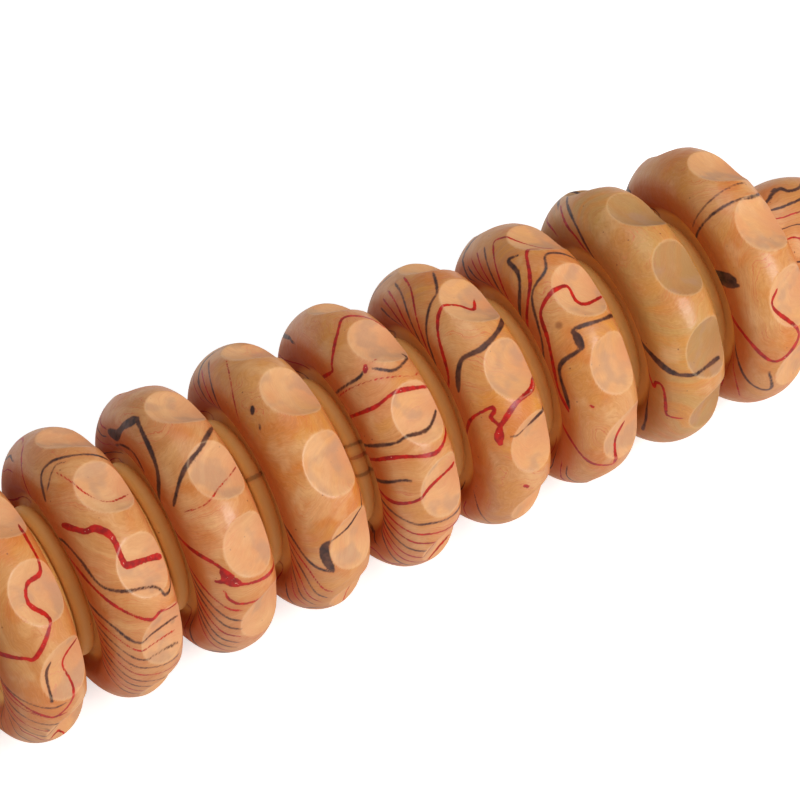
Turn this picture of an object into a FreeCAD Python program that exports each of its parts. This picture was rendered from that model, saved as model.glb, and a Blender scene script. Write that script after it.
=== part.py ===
import FreeCAD, Part
import math
import os

os.makedirs("parts", exist_ok=True)

# Foot massage roller: nine scalloped wooden wheels on a steel rod between two turned handles.
# Millimetres. +X runs along the rod, +Z is up, and the origin is the middle wheel's centre.

# ---- row of wheels ----
WHEEL_COUNT = 9
WHEEL_PITCH = 20.4             # centre to centre along the rod
WHEEL_GAP = 0.2                # air between neighbouring collars
WHEEL_RADIUS = 27.5            # crown of the rim
RIM_HALF_WIDTH = 8.05          # widest point of the rim from the wheel's mid-plane
RIM_ROUND_DEPTH = 7.4          # radial half-axis of the rim's elliptical round
DISH_HALF_WIDTH = 6.4          # mid-plane to the deepest ring of the dished flank
DISH_RADIUS = 16.8             # radius of that deepest ring
DISH_START_SLOPE = 0.35        # inward lean of the flank where it leaves the collar's groove
COLLAR_RADIUS = 15.5           # crown of the bead collar
COLLAR_ROUND = 1.6             # the bead's own radius
BORE_CLEARANCE = 0.05          # radial running clearance of a wheel on the rod
BORE_CHAMFER = 0.6

# ---- scallops hollowed into each rim ----
SCALLOP_COUNT = 10
SCALLOP_DEPTH = 1.25           # at the middle of the rim
SCALLOP_CUTTER_RADIUS = 33.0   # a round cutter lying along the rod
# Where one scallop's middle stands on each wheel, in degrees from +Y towards +Z.
# The wheels turn freely, so these are only how they happen to stand at rest.
SCALLOP_PHASE = (18.5, 26.0, 3.0, 21.0, 16.0, 16.0, 34.5, 8.5, 4.0)

# ---- rod, washers and nuts (M6 hardware) ----
ROD_RADIUS = 4.0
ROD_END_RADIUS = 3.0           # threaded ends, drawn plain at the thread's outside size
ROD_CHAMFER = 0.6
END_PLAY = 0.25                # air between an end wheel and its thrust washer
WASHER_BORE_RADIUS = 3.2
THRUST_WASHER_RADIUS = 7.0
THRUST_WASHER_THICKNESS = 0.8
NUT_WASHER_RADIUS = 6.0
NUT_WASHER_THICKNESS = 1.6
NUT_ACROSS_FLATS = 10.0
NUT_THICKNESS = 5.0
NUT_BORE_RADIUS = 3.02
NUT_CHAMFER = 0.7
THREAD_PAST_NUT = 2.4

# ---- handles and end plugs ----
OVERALL_LENGTH = 400.0
SHOULDER_OFFSET = 17.8         # end wheel's centre to the middle of the handle's round shoulder
SHOULDER_RADIUS = 13.1
SHOULDER_HALF_LENGTH = 14.8    # the shoulder is an ellipse, a little longer than it is thick
SHOULDER_BLEND = 9.5           # shoulder's middle to where the neck's hollow begins
NECK_RADIUS = 8.4
NECK_OFFSET = 19.0             # shoulder's middle to the narrowest ring
GRIP_OFFSET = 29.0             # shoulder's middle to the bead at the start of the grip
GRIP_START_RADIUS = 10.0
GRIP_BEAD_ROUND = 1.6
GRIP_RADIUS = 13.0
GRIP_BAND_LENGTH = 34.0        # straight band of the grip
GRIP_BAND_TO_END = 18.0        # outer end of that band to the handle's end
HANDLE_BORE_RADIUS = 3.2
HANDLE_END_RADIUS = 8.0        # where the rounded end meets the flat ring about the plug
COUNTERBORE_RADIUS = 6.5
COUNTERBORE_DEPTH = 16.0
PLUG_RADIUS = 6.45
PLUG_LENGTH = 6.0
PLUG_DOME_HEIGHT = 1.5
PLUG_FLAT_RADIUS = 3.5

# ---- stations along +X that follow from the sizes above ----
WHEEL_HALF_WIDTH = (WHEEL_PITCH - WHEEL_GAP) / 2
LAST_WHEEL_X = WHEEL_PITCH * (WHEEL_COUNT - 1) / 2
ROD_SHOULDER_X = LAST_WHEEL_X + WHEEL_HALF_WIDTH + END_PLAY
HANDLE_START_X = ROD_SHOULDER_X + THRUST_WASHER_THICKNESS
SHOULDER_X = LAST_WHEEL_X + SHOULDER_OFFSET
GRIP_X = SHOULDER_X + GRIP_OFFSET
HANDLE_END_X = OVERALL_LENGTH / 2 - PLUG_DOME_HEIGHT
BAND_END_X = HANDLE_END_X - GRIP_BAND_TO_END
BAND_START_X = BAND_END_X - GRIP_BAND_LENGTH
COUNTERBORE_X = HANDLE_END_X - COUNTERBORE_DEPTH
NUT_X = COUNTERBORE_X + NUT_WASHER_THICKNESS
ROD_END_X = NUT_X + NUT_THICKNESS + THREAD_PAST_NUT

CENTRE = FreeCAD.Vector(0, 0, 0)
X_AXIS = FreeCAD.Vector(1, 0, 0)


# ---- drawing helpers: a half outline lies in the XZ plane, as (x along the rod, radius) ----

def at(x, radius):
    return FreeCAD.Vector(x, 0, radius)


def straight(points):
    """Straight edges from point to point."""
    return [Part.makeLine(a, b) for a, b in zip(points, points[1:])]


def arc(start, middle, end):
    return Part.Arc(start, middle, end).toShape()


def smooth(points, start_direction, end_direction):
    """One smooth edge through the points that leaves and arrives in the given directions."""
    curve = Part.BSplineCurve()
    curve.interpolate(Points=points, InitialTangent=start_direction, FinalTangent=end_direction)
    return curve.toShape()


def ellipse_arc(centre, half_x, half_radius, start, end):
    """Part of an ellipse whose axes lie along the rod and away from it, from point to point."""
    along = centre + at(half_x, 0)
    away = centre + at(0, half_radius)
    curve = Part.Ellipse(along, away, centre) if half_x > half_radius else Part.Ellipse(away, along, centre)
    limits = sorted((curve.parameter(start), curve.parameter(end)))
    return curve.toShape(*limits)


def turned(edges):
    """The solid that a closed half outline makes when it is turned about the rod's axis."""
    face = Part.Face(Part.Wire(Part.__sortEdges__(edges)))
    solid = Part.Solid(face.revolve(CENTRE, X_AXIS, 360))
    if solid.Volume < 0:
        solid.reverse()
    return solid


def stepped(points):
    """A turned solid whose half outline is straight from point to point."""
    return turned(straight(points + points[:1]))


def washer(start_x, thickness, outer_radius):
    end_x = start_x + thickness
    return stepped([at(start_x, WASHER_BORE_RADIUS), at(start_x, outer_radius),
                    at(end_x, outer_radius), at(end_x, WASHER_BORE_RADIUS)])


# ---- the pieces, drawn at the right-hand end or about the origin ----

def wheel_side(side):
    """One side of a wheel's outline, from the bore's mouth out to the rim. side is +1 or -1."""
    bead_radius = COLLAR_RADIUS - COLLAR_ROUND
    groove_x = WHEEL_HALF_WIDTH - 2 * COLLAR_ROUND
    bore_radius = ROD_RADIUS + BORE_CLEARANCE
    chamfer_start = at(side * (WHEEL_HALF_WIDTH - BORE_CHAMFER), bore_radius)
    chamfer_end = at(side * WHEEL_HALF_WIDTH, bore_radius + BORE_CHAMFER)
    face_end = at(side * WHEEL_HALF_WIDTH, bead_radius)
    bead_top = at(side * (WHEEL_HALF_WIDTH - COLLAR_ROUND), COLLAR_RADIUS)
    groove = at(side * groove_x, bead_radius)
    dish = at(side * DISH_HALF_WIDTH, DISH_RADIUS)
    rim_start = at(side * RIM_HALF_WIDTH, WHEEL_RADIUS - RIM_ROUND_DEPTH)
    flank = smooth([groove, dish, rim_start], at(-side * DISH_START_SLOPE, 1), at(0, 1))
    return straight([chamfer_start, chamfer_end, face_end]) + [arc(face_end, bead_top, groove), flank]


def wheel_blank():
    """The turned wheel before its scallops are cut, centred on the origin."""
    bore_radius = ROD_RADIUS + BORE_CLEARANCE
    bore_half = WHEEL_HALF_WIDTH - BORE_CHAMFER
    rim_base = WHEEL_RADIUS - RIM_ROUND_DEPTH
    bore = straight([at(-bore_half, bore_radius), at(bore_half, bore_radius)])
    rim = ellipse_arc(at(0, rim_base), RIM_HALF_WIDTH, RIM_ROUND_DEPTH,
                      at(RIM_HALF_WIDTH, rim_base), at(-RIM_HALF_WIDTH, rim_base))
    return turned(bore + wheel_side(1) + wheel_side(-1) + [rim])


def scallop_cutter(angle):
    """The round cutter for the scallop at this angle, in degrees from +Y towards +Z."""
    distance = WHEEL_RADIUS - SCALLOP_DEPTH + SCALLOP_CUTTER_RADIUS
    turn = math.radians(angle)
    start = FreeCAD.Vector(-WHEEL_HALF_WIDTH, distance * math.cos(turn), distance * math.sin(turn))
    return Part.makeCylinder(SCALLOP_CUTTER_RADIUS, 2 * WHEEL_HALF_WIDTH, start, X_AXIS)


def wheel(index):
    """Wheel number index, counted from 0 at the left, in its place on the rod."""
    solid = wheel_blank()
    for step in range(SCALLOP_COUNT):
        solid = solid.cut(scallop_cutter(SCALLOP_PHASE[index] + step * 360 / SCALLOP_COUNT))
    solid.translate(FreeCAD.Vector(index * WHEEL_PITCH - LAST_WHEEL_X, 0, 0))
    return solid


def axle_rod():
    """The rod: a thick middle that the wheels run on, and thinner threaded ends."""
    right = [at(ROD_SHOULDER_X, ROD_RADIUS), at(ROD_SHOULDER_X, ROD_END_RADIUS),
             at(ROD_END_X - ROD_CHAMFER, ROD_END_RADIUS), at(ROD_END_X, ROD_END_RADIUS - ROD_CHAMFER),
             at(ROD_END_X, 0)]
    left = [at(-point.x, point.z) for point in reversed(right)]
    return stepped(left + right)


def thrust_washer():
    return washer(ROD_SHOULDER_X, THRUST_WASHER_THICKNESS, THRUST_WASHER_RADIUS)


def nut_washer():
    return washer(COUNTERBORE_X, NUT_WASHER_THICKNESS, NUT_WASHER_RADIUS)


def nut():
    """A hexagon nut with its corners turned off at both faces."""
    corner = NUT_ACROSS_FLATS / 2 / math.cos(math.radians(30))
    end_x = NUT_X + NUT_THICKNESS
    angles = [math.radians(60 * k) for k in range(7)]
    outline = [FreeCAD.Vector(NUT_X, corner * math.cos(a), corner * math.sin(a)) for a in angles]
    hexagon = Part.Face(Part.makePolygon(outline)).extrude(FreeCAD.Vector(NUT_THICKNESS, 0, 0))
    rounded = stepped([at(NUT_X, NUT_BORE_RADIUS), at(NUT_X, corner - NUT_CHAMFER),
                       at(NUT_X + NUT_CHAMFER / 2, corner), at(end_x - NUT_CHAMFER / 2, corner),
                       at(end_x, corner - NUT_CHAMFER), at(end_x, NUT_BORE_RADIUS)])
    return hexagon.common(rounded)


def shoulder_radius_at(offset):
    """Radius of the handle's round shoulder at a distance from its middle."""
    return SHOULDER_RADIUS * math.sqrt(1 - (offset / SHOULDER_HALF_LENGTH) ** 2)


def handle():
    """The turned handle: round shoulder, hollow neck, small bead, and a full grip with a rounded end."""
    start = at(HANDLE_START_X, shoulder_radius_at(HANDLE_START_X - SHOULDER_X))
    blend_radius = shoulder_radius_at(SHOULDER_BLEND)
    blend = at(SHOULDER_X + SHOULDER_BLEND, blend_radius)
    blend_slope = -SHOULDER_BLEND / blend_radius * (SHOULDER_RADIUS / SHOULDER_HALF_LENGTH) ** 2
    neck = at(SHOULDER_X + NECK_OFFSET, NECK_RADIUS)
    grip_start = at(GRIP_X, GRIP_START_RADIUS)
    bead_top = at(GRIP_X + GRIP_BEAD_ROUND, GRIP_START_RADIUS + GRIP_BEAD_ROUND)
    bead_end = at(GRIP_X + 2 * GRIP_BEAD_ROUND, GRIP_START_RADIUS)
    band_start = at(BAND_START_X, GRIP_RADIUS)
    band_end = at(BAND_END_X, GRIP_RADIUS)
    end_edge = at(HANDLE_END_X, HANDLE_END_RADIUS)

    shoulder = ellipse_arc(at(SHOULDER_X, 0), SHOULDER_HALF_LENGTH, SHOULDER_RADIUS, start, blend)
    neck_curve = smooth([blend, neck, grip_start], at(1, blend_slope), at(1, -blend_slope / 2))
    bead = arc(grip_start, bead_top, bead_end)
    swell = smooth([bead_end, band_start], at(1, -blend_slope / 2), at(1, 0))
    rounded_end = ellipse_arc(at(BAND_END_X, HANDLE_END_RADIUS), GRIP_BAND_TO_END,
                              GRIP_RADIUS - HANDLE_END_RADIUS, band_end, end_edge)
    inside = straight([end_edge, at(HANDLE_END_X, COUNTERBORE_RADIUS), at(COUNTERBORE_X, COUNTERBORE_RADIUS),
                       at(COUNTERBORE_X, HANDLE_BORE_RADIUS), at(HANDLE_START_X, HANDLE_BORE_RADIUS), start])
    band = straight([band_start, band_end])
    return turned([shoulder, neck_curve, bead, swell] + band + [rounded_end] + inside)


def end_plug():
    """The wooden plug that closes the counterbore: a short peg with a low dome and a flat middle."""
    dome_start = at(HANDLE_END_X, PLUG_RADIUS)
    dome_end = at(HANDLE_END_X + PLUG_DOME_HEIGHT, PLUG_FLAT_RADIUS)
    dome = ellipse_arc(at(HANDLE_END_X, PLUG_FLAT_RADIUS), PLUG_DOME_HEIGHT,
                       PLUG_RADIUS - PLUG_FLAT_RADIUS, dome_start, dome_end)
    inner_x = HANDLE_END_X - PLUG_LENGTH
    rest = straight([dome_end, at(dome_end.x, 0), at(inner_x, 0), at(inner_x, PLUG_RADIUS), dome_start])
    return turned([dome] + rest)


# ---- write one file per piece ----

def save(name, shape):
    shape.exportStep("parts/" + name + ".step")


save("axle_rod", axle_rod())
for number in range(WHEEL_COUNT):
    save("wheel_%d" % (number + 1), wheel(number))
for piece in (thrust_washer, nut_washer, nut, handle, end_plug):
    save("right_" + piece.__name__, piece())
    save("left_" + piece.__name__, piece().mirror(CENTRE, X_AXIS))
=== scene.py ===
import math

import bpy
import numpy as np
from mathutils import Matrix, Vector


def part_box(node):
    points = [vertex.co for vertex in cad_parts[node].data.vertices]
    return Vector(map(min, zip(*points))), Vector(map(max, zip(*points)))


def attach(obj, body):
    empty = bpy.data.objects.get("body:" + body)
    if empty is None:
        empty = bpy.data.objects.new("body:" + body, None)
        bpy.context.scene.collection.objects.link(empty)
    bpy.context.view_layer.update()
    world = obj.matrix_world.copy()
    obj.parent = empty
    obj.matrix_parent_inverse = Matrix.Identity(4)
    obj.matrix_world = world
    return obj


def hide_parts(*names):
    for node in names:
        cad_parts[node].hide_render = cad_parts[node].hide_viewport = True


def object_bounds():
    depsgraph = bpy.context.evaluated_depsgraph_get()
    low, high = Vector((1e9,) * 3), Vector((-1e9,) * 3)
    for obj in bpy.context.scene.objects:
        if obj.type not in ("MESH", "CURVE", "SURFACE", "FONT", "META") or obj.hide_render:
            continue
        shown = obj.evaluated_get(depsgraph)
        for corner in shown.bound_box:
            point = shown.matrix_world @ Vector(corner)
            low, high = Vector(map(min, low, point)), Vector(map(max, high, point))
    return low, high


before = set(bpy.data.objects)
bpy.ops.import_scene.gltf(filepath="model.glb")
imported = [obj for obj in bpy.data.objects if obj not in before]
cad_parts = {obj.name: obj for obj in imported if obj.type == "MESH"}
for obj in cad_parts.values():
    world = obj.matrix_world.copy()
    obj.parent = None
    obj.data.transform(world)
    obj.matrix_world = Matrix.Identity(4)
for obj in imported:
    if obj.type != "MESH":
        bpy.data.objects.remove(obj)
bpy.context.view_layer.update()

# Looks of a foot massage roller: nine scalloped wheels of laminated wood on a rod, between two handles.
# The X axis is the rod. Shapes are worked out in millimetres and stored in metres.

MM = 0.001
WHEELS = sorted(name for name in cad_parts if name.startswith("wheel_"))
SIDES = {"left": -1, "right": 1}
ROOT_BODY = "axle_and_handles"


def node_points(node):
    """A node's vertices in millimetres."""
    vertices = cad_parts[node].data.vertices
    flat = np.zeros(len(vertices) * 3)
    vertices.foreach_get("co", flat)
    return flat.reshape(-1, 3) / MM


def node_axis_span(node):
    """Middle along the rod, half width along it, and outer radius of a node, in millimetres."""
    low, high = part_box(node)
    points = node_points(node)
    radius = np.hypot(points[:, 1], points[:, 2]).max()
    return (low.x + high.x) / 2 / MM, (high.x - low.x) / 2 / MM, radius


# ---- the wheel's outline, in millimetres from its mid-plane and from the rod's axis ----
WHEEL_RADIUS = node_axis_span(WHEELS[len(WHEELS) // 2])[2]
RIM_HALF_WIDTH = 8.05
RIM_ROUND_DEPTH = 7.4
DISH_HALF_WIDTH = 6.4
DISH_RADIUS = 16.8
DISH_START_SLOPE = 0.35
COLLAR_RADIUS = 15.5
COLLAR_ROUND = 1.6
BORE_RADIUS = 4.05
BORE_CHAMFER = 0.6
WHEEL_AROUND = 480  # points round each wheel


# ---- outlines: rows of (x, radius). A stretch's last number is its count of points ----

def round_points(centre, half_x, half_radius, start, end, count):
    """Points on an ellipse, angles in degrees from +x towards the radius."""
    angles = np.radians(np.linspace(start, end, count))
    return np.column_stack([centre[0] + half_x * np.cos(angles), centre[1] + half_radius * np.sin(angles)])


def curve_points(points, start_direction, end_direction, count):
    """A smooth curve through the points that leaves and arrives in the given directions."""
    points = np.array(points, float)
    lengths = np.linalg.norm(np.diff(points, axis=0), axis=1)
    knots = np.concatenate([[0], np.cumsum(lengths)])
    slopes = np.zeros_like(points)
    slopes[0] = np.array(start_direction) / np.linalg.norm(start_direction)
    slopes[-1] = np.array(end_direction) / np.linalg.norm(end_direction)
    for i in range(1, len(points) - 1):
        slopes[i] = (points[i + 1] - points[i - 1]) / (knots[i + 1] - knots[i - 1])
    made = []
    for t in np.linspace(0, knots[-1], count):
        i = min(int(np.searchsorted(knots, t, side="right")) - 1, len(points) - 2)
        span = knots[i + 1] - knots[i]
        u = (t - knots[i]) / span
        made.append(points[i] * (2 * u ** 3 - 3 * u ** 2 + 1) + points[i + 1] * (3 * u ** 2 - 2 * u ** 3)
                    + slopes[i] * span * (u ** 3 - 2 * u ** 2 + u) + slopes[i + 1] * span * (u ** 3 - u ** 2))
    return np.array(made)


def joined(*stretches):
    """One closed outline from stretches that each start where the last one ended."""
    return np.concatenate([stretch[:-1] for stretch in stretches])


def wheel_outline(half_width, radius):
    """A wheel's closed outline: bore, hub face, bead collar, dished flank and rim, then the other side."""
    bead_radius = COLLAR_RADIUS - COLLAR_ROUND
    bead_x = half_width - COLLAR_ROUND
    groove = (half_width - 2 * COLLAR_ROUND, bead_radius)
    rim_base = radius - RIM_ROUND_DEPTH
    mouth = (half_width - BORE_CHAMFER, BORE_RADIUS)
    chamfer_end = (half_width, BORE_RADIUS + BORE_CHAMFER)
    face_end = (half_width, bead_radius)
    right = [
        np.linspace(mouth, chamfer_end, 3),
        np.linspace(chamfer_end, face_end, 9),
        round_points((bead_x, bead_radius), COLLAR_ROUND, COLLAR_ROUND, 0, 180, 17),
        curve_points([groove, (DISH_HALF_WIDTH, DISH_RADIUS), (RIM_HALF_WIDTH, rim_base)],
                     (-DISH_START_SLOPE, 1), (0, 1), 17)]
    left = [stretch[::-1] * (-1, 1) for stretch in right[::-1]]
    rim = round_points((0, rim_base), RIM_HALF_WIDTH, RIM_ROUND_DEPTH, 0, 180, 71)
    bore = np.linspace((-mouth[0], BORE_RADIUS), mouth, 9)
    return joined(bore, *right, rim, *left)


# ---- turning an outline into a mesh ----

def turned_grid(outline, around):
    """x, radius and angle of every point of a turned shape, each as an array of outline by around."""
    angles = np.linspace(0, 2 * np.pi, around, endpoint=False)
    return np.broadcast_arrays(outline[:, :1], outline[:, 1:], angles)


def turned_points(x, radius, angle):
    return np.stack([x, radius * np.cos(angle), radius * np.sin(angle)], axis=-1)


def grid_mesh(name, x, radius, angle, fields):
    """A mesh object from such a grid. fields are named numbers, or triples of them, for each point."""
    points = turned_points(x, radius, angle).reshape(-1, 3) * MM
    here = np.arange(x.size).reshape(x.shape)
    after = np.roll(here, -1, axis=0)
    corners = [here, np.roll(here, -1, axis=1), np.roll(after, -1, axis=1), after]
    faces = np.stack(corners, axis=-1).reshape(-1, 4)
    mesh = bpy.data.meshes.new(name)
    mesh.vertices.add(len(points))
    mesh.vertices.foreach_set("co", points.astype(np.float32).ravel())
    mesh.loops.add(faces.size)
    mesh.loops.foreach_set("vertex_index", faces.ravel().astype(np.int32))
    mesh.polygons.add(len(faces))
    mesh.polygons.foreach_set("loop_start", np.arange(0, faces.size, 4, dtype=np.int32))
    mesh.polygons.foreach_set("use_smooth", np.ones(len(faces), bool))
    mesh.update(calc_edges=True)
    for field, values in fields.items():
        kind = "FLOAT_VECTOR" if values.ndim == 3 else "FLOAT"
        slot = "vector" if values.ndim == 3 else "value"
        layer = mesh.attributes.new(field, kind, "POINT")
        layer.data.foreach_set(slot, values.astype(np.float32).ravel())
    made = bpy.data.objects.new(name, mesh)
    bpy.context.scene.collection.objects.link(made)
    return made


# ---- smooth random shapes, the same for the same seed ----
WAVELENGTH_SPREAD = (0.75, 1.35)


def waves(points, seed, wavelength, height, count=5):
    """A sum of sine waves in random directions. points and wavelength are in millimetres."""
    random = np.random.default_rng(seed)
    total = np.zeros(points.shape[:-1])
    for _ in range(count):
        direction = random.normal(size=3)
        direction /= np.linalg.norm(direction)
        length = wavelength * random.uniform(*WAVELENGTH_SPREAD)
        total += np.sin(points @ direction * 2 * np.pi / length + random.uniform(0, 2 * np.pi))
    return total * height / math.sqrt(count / 2)


# ---- the laminated wood's layers ----
# The wood is cut from a block of thin wavy veneers pressed together. Each piece has its own direction
# across them: tilt is that direction's angle from the rod, and turn its angle from +Y towards +Z. dish
# is how far the veneers are pressed down where the wheel is dished, in mm.
LAYER_WAVES = ((36.0, 2.0), (15.0, 0.8), (6.5, 0.3))  # wavelength and height
LAYER_WAVE_SEEDS = 100  # keeps the seeds of one piece's waves apart
DISH_LAYERS_START = 24.0  # radius where the dished layers leave the flat ones
DISH_LAYERS_DEPTH = 8.0


def layer_coordinates(points, style):
    """Depth in the stack of veneers, and two places within a veneer, of points in millimetres."""
    tilt, turn = math.radians(style["tilt"]), math.radians(style["turn"])
    across = np.array([math.cos(tilt), math.sin(tilt) * math.cos(turn), math.sin(tilt) * math.sin(turn)])
    along = np.cross(across, (1, 0, 0))
    along /= np.linalg.norm(along)
    aside = np.cross(across, along)
    depth = points @ across
    for number, (wavelength, height) in enumerate(LAYER_WAVES):
        depth += waves(points, style["seed"] + LAYER_WAVE_SEEDS * number, wavelength, height)
    radius = np.hypot(points[..., 1], points[..., 2])
    depth += style.get("dish", 0.0) * np.clip((DISH_LAYERS_START - radius) / DISH_LAYERS_DEPTH, 0, 1)
    return np.stack([depth, points @ along, points @ aside], axis=-1)


# ---- single veins ----
# Where a dyed veneer breaks or folds, its line on a wheel is given point by point. A line's point is an angle
# round the rod in degrees, from +Y towards +Z, and a distance over the rim in mm from its crown, above
# zero towards +X. Within a wheel's "by_hand" angles only these lines show.
LINE_STEP = 0.25  # millimetres between the places where a line is measured from
EDGE_REACH = 1.5  # how far from a line's edge its nearness is still told
LINE_SWELL = 0.16  # how much thicker and thinner a line gets along its way
LINE_SWELL_LENGTH = 9.0
LINE_SWELL_PHASE = 40  # radians per millimetre of thickness, so that lines differ
LINE_TAPER = 3.0  # millimetres over which a line's ends thin out
LINE_END = 0.6  # share of its thickness that a line keeps at its very end
SIDE_SOFTNESS = 5.0  # degrees over which the listed lines take over


def over_the_rim(outline):
    """Each outline point's distance over the rim from the crown, above zero towards +x."""
    lengths = np.linalg.norm(np.diff(outline, axis=0), axis=1)
    travelled = np.concatenate([[0], np.cumsum(lengths)])
    return travelled[np.argmax(outline[:, 1])] - travelled


def smooth_line(points):
    """Places along a smooth line through the points: angles in radians, and distances over the rim."""
    points = np.array(points, float)
    flat = np.column_stack([np.radians(points[:, 0]) * WHEEL_RADIUS, points[:, 1]])
    padded = np.vstack([2 * flat[0] - flat[1], flat, 2 * flat[-1] - flat[-2]])
    made = []
    for i in range(1, len(flat)):
        p0, p1, p2, p3 = padded[i - 1:i + 3]
        count = max(2, int(np.linalg.norm(p2 - p1) / LINE_STEP) + 1)
        u = np.linspace(0, 1, count)[:, None]
        made.append(0.5 * (2 * p1 + (p2 - p0) * u + (2 * p0 - 5 * p1 + 4 * p2 - p3) * u ** 2
                           + (3 * p1 - p0 - 3 * p2 + p3) * u ** 3))
    made = np.vstack(made)
    return made[:, 0] / WHEEL_RADIUS, made[:, 1]


def red(thickness, *points):
    return "red", thickness, points


def dark(thickness, *points):
    return "dark", thickness, points


def fan(dyes, thickness, count, first, last):
    """Lines spread evenly from the first to the last, their dyes in turn."""
    first, last = np.array(first, float), np.array(last, float)
    return [dyes[number % len(dyes)](thickness, *(first + (last - first) * number / (count - 1)))
            for number in range(count)]


def nearness_to_lines(lines, dye, radius, angle, across):
    """How much nearer than the reach each point is to the nearest line's edge, 0 beyond the reach."""
    nearest = np.full(radius.shape, EDGE_REACH)
    for line_dye, thickness, points in lines:
        if line_dye != dye:
            continue
        places, overs = smooth_line(points)
        travelled = np.arange(len(places)) * LINE_STEP
        swelling = 1 + LINE_SWELL * np.sin(travelled * 2 * np.pi / LINE_SWELL_LENGTH
                                          + thickness * LINE_SWELL_PHASE)
        to_end = np.minimum(travelled, travelled[-1] - travelled)
        halves = thickness / 2 * swelling * np.clip(LINE_END + to_end / LINE_TAPER, 0, 1)
        for place, over, half in zip(places, overs, halves):
            rows = np.abs(across[:, 0] - over) < EDGE_REACH + half
            reach = (EDGE_REACH + half) / COLLAR_RADIUS
            away = (angle[0] - place + np.pi) % (2 * np.pi) - np.pi
            columns = np.abs(away) < reach
            window = np.ix_(rows, columns)
            sideways = away[columns][None, :] * radius[window]
            distance = np.hypot(sideways, across[window] - over) - half
            nearest[window] = np.minimum(nearest[window], distance)
    return EDGE_REACH - nearest


def between_angles(angle, start, end):
    """1 between two angles in degrees, 0 outside, with a soft change over a few degrees."""
    turn = np.degrees(angle)
    return np.clip((turn - start) / SIDE_SOFTNESS, 0, 1) * np.clip((end - turn) / SIDE_SOFTNESS, 0, 1)


# ---- wheels ----
SCALLOP_COUNT = 10
SCALLOP_DEPTH = 1.25  # the CAD wheels' own scallops, which tell how each wheel stands
SCALLOP_CUTTER_RADIUS = 33.0
HAND_CUT_DEPTH = 1.75  # the visible ones are cut by hand: deeper, with a smaller cutter
HAND_CUTTER_RADIUS = 12.0
SCALLOP_SOFTNESS = 0.14  # how far a scallop's edge is rubbed round
SCALLOP_STRAY = 1.2  # degrees
SCALLOP_UNEVEN = 0.12  # millimetres
SCALLOP_TILT = -0.47  # millimetres of radius per millimetre along the rod
SCALLOP_LEAN = 0.03  # how far one scallop's tilt strays from that
SCALLOP_WINDOW = 0.75  # share of the pitch, to each side, that a scallop can reach
BEYOND_REACH = 1000.0  # millimetres, a surface that cuts nothing
PHASE_MARGIN = 1.0  # millimetres above the rim's base where a CAD wheel is compared
PHASE_STEP = 0.25  # degrees
TURNING_WOBBLE = 0.05  # how far a hand-turned rim strays from round
WOBBLE_LENGTH = 18.0
WOBBLE_FADE = 3.0  # height above the collar over which the wobble sets in
WOBBLE_SEED = 7
FLANK_DEPTH = 2.6  # depth below the crown where a flank starts, and over which it deepens
LOW_RADIUS = DISH_RADIUS + 1  # the collar's outer edge, where its painted light ends, and how soft that end is
LOW_SOFTNESS = 1.5


def scallop_reach(angle_from_middle, depth, cutter_radius):
    """Distance from the rod's axis to the round cutter's surface, at an angle from the scallop's middle."""
    distance = WHEEL_RADIUS - depth + cutter_radius
    sideways = np.minimum(distance * np.abs(np.sin(angle_from_middle)), cutter_radius)
    return distance * np.cos(angle_from_middle) - np.sqrt(cutter_radius ** 2 - sideways ** 2)


def scallop_phase(node, middle):
    """The angle of a CAD wheel's first scallop: of the angles tried, the one that fits its vertices best."""
    points = node_points(node)
    radius = np.hypot(points[:, 1], points[:, 2])
    rim_base = WHEEL_RADIUS - RIM_ROUND_DEPTH
    outer = radius > rim_base + PHASE_MARGIN
    x = points[outer, 0] - middle
    angle = np.arctan2(points[outer, 2], points[outer, 1])
    rim = rim_base + RIM_ROUND_DEPTH * np.sqrt(np.clip(1 - (x / RIM_HALF_WIDTH) ** 2, 0, 1))
    pitch = 2 * np.pi / SCALLOP_COUNT

    def misfit(phase):
        away = (angle - math.radians(phase) + pitch / 2) % pitch - pitch / 2
        scallop = scallop_reach(away, SCALLOP_DEPTH, SCALLOP_CUTTER_RADIUS)
        return np.abs(np.minimum(rim, scallop) - radius[outer]).mean()

    return math.radians(min(np.arange(0, 360 / SCALLOP_COUNT, PHASE_STEP), key=misfit))


def hand_cut(node, middle, x, radius, angle, seed):
    """Cuts the scallops, each a little different. Returns the new radius and how far each point is cut."""
    random = np.random.default_rng(seed)
    pitch = 2 * np.pi / SCALLOP_COUNT
    phase = scallop_phase(node, middle)
    cut = np.zeros_like(radius)
    for number in range(SCALLOP_COUNT):
        middle_angle = phase + number * pitch + math.radians(random.uniform(-SCALLOP_STRAY, SCALLOP_STRAY))
        depth = HAND_CUT_DEPTH + random.uniform(-SCALLOP_UNEVEN, SCALLOP_UNEVEN)
        lean = SCALLOP_TILT + random.uniform(-SCALLOP_LEAN, SCALLOP_LEAN)
        away = (angle - middle_angle + np.pi) % (2 * np.pi) - np.pi
        reach = scallop_reach(away, depth, HAND_CUTTER_RADIUS) + lean * x
        reach = np.where(np.abs(away) < pitch * SCALLOP_WINDOW, reach, BEYOND_REACH)
        blend = np.clip(0.5 + 0.5 * (radius - reach) / SCALLOP_SOFTNESS, 0, 1)
        radius = radius * (1 - blend) + reach * blend - SCALLOP_SOFTNESS * blend * (1 - blend)
        cut = np.maximum(cut, blend)
    return radius, cut


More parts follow.
